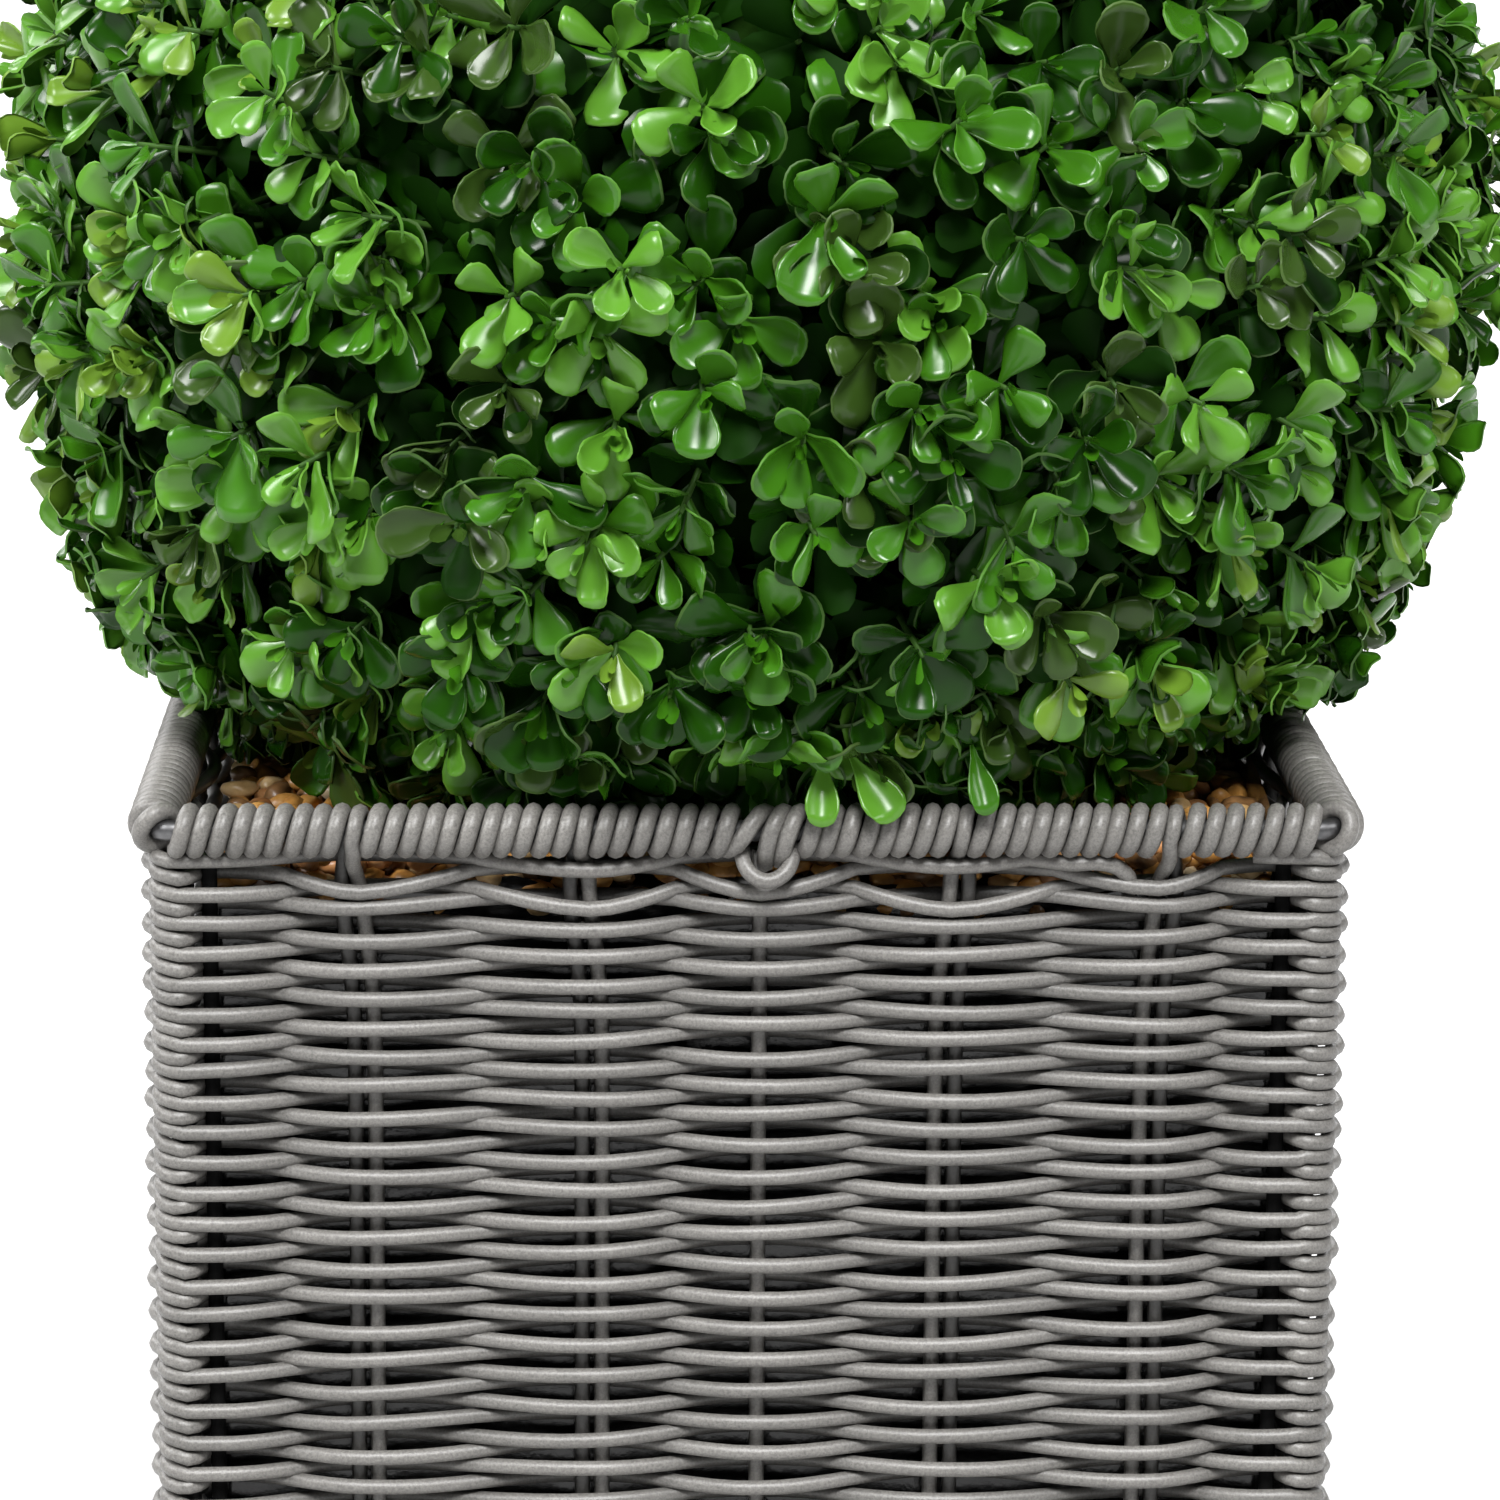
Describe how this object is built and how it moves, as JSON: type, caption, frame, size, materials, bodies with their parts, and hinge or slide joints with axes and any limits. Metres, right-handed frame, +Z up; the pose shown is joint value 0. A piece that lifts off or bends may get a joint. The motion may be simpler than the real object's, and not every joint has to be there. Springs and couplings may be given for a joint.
{
  "type": "artificial boxwood ball topiary in a woven planter",
  "caption": "Clipped ball of plastic boxwood leaves on a hidden short stem, standing in a square planter woven from grey round strand with a strand-wound rim and a pebble fill.",
  "frame": {"origin": "middle of the planter's flat underside", "axes": "+Z up through the ball's top, -Y towards the front face in the picture, +X to its right"},
  "size_m": [0.3321, 0.3336, 0.5188],
  "materials": {
    "weave_strand": "satin",
    "stake_strand": "satin",
    "rim_strand": "satin",
    "steel": "polished",
    "liner_film": "gloss",
    "pebbles": "satin",
    "stem_bark": "matte",
    "foliage": "satin"
  },
  "bodies": {
    "root": {"basket": "weave_strand", "single_stake_front_0": "stake_strand", "hairpin_stake_front_1": "stake_strand", "hairpin_stake_front_2": "stake_strand", "single_stake_front_3": "stake_strand", "hairpin_stake_front_4": "stake_strand", "hairpin_stake_front_5": "stake_strand", "single_stake_front_6": "stake_strand", "corner_post_front": "steel", "single_stake_right_0": "stake_strand", "hairpin_stake_right_1": "stake_strand", "hairpin_stake_right_2": "stake_strand", "single_stake_right_3": "stake_strand", "hairpin_stake_right_4": "stake_strand", "hairpin_stake_right_5": "stake_strand", "single_stake_right_6": "stake_strand", "corner_post_right": "steel", "single_stake_back_0": "stake_strand", "hairpin_stake_back_1": "stake_strand", "hairpin_stake_back_2": "stake_strand", "single_stake_back_3": "stake_strand", "hairpin_stake_back_4": "stake_strand", "hairpin_stake_back_5": "stake_strand", "single_stake_back_6": "stake_strand", "corner_post_back": "steel", "single_stake_left_0": "stake_strand", "hairpin_stake_left_1": "stake_strand", "hairpin_stake_left_2": "stake_strand", "single_stake_left_3": "stake_strand", "hairpin_stake_left_4": "stake_strand", "hairpin_stake_left_5": "stake_strand", "single_stake_left_6": "stake_strand", "corner_post_left": "steel", "rim_rod": "steel", "rim_wrap_front": "rim_strand", "rim_wrap_right": "rim_strand", "rim_wrap_back": "rim_strand", "rim_wrap_left": "rim_strand", "rim_loop_front": "rim_strand", "rim_loop_right": "rim_strand", "rim_loop_back": "rim_strand", "rim_loop_left": "rim_strand", "liner": "liner_film", "pebble_fill": "pebbles", "stem": "stem_bark", "foliage_ball": "foliage"}
  },
  "joints": []
}
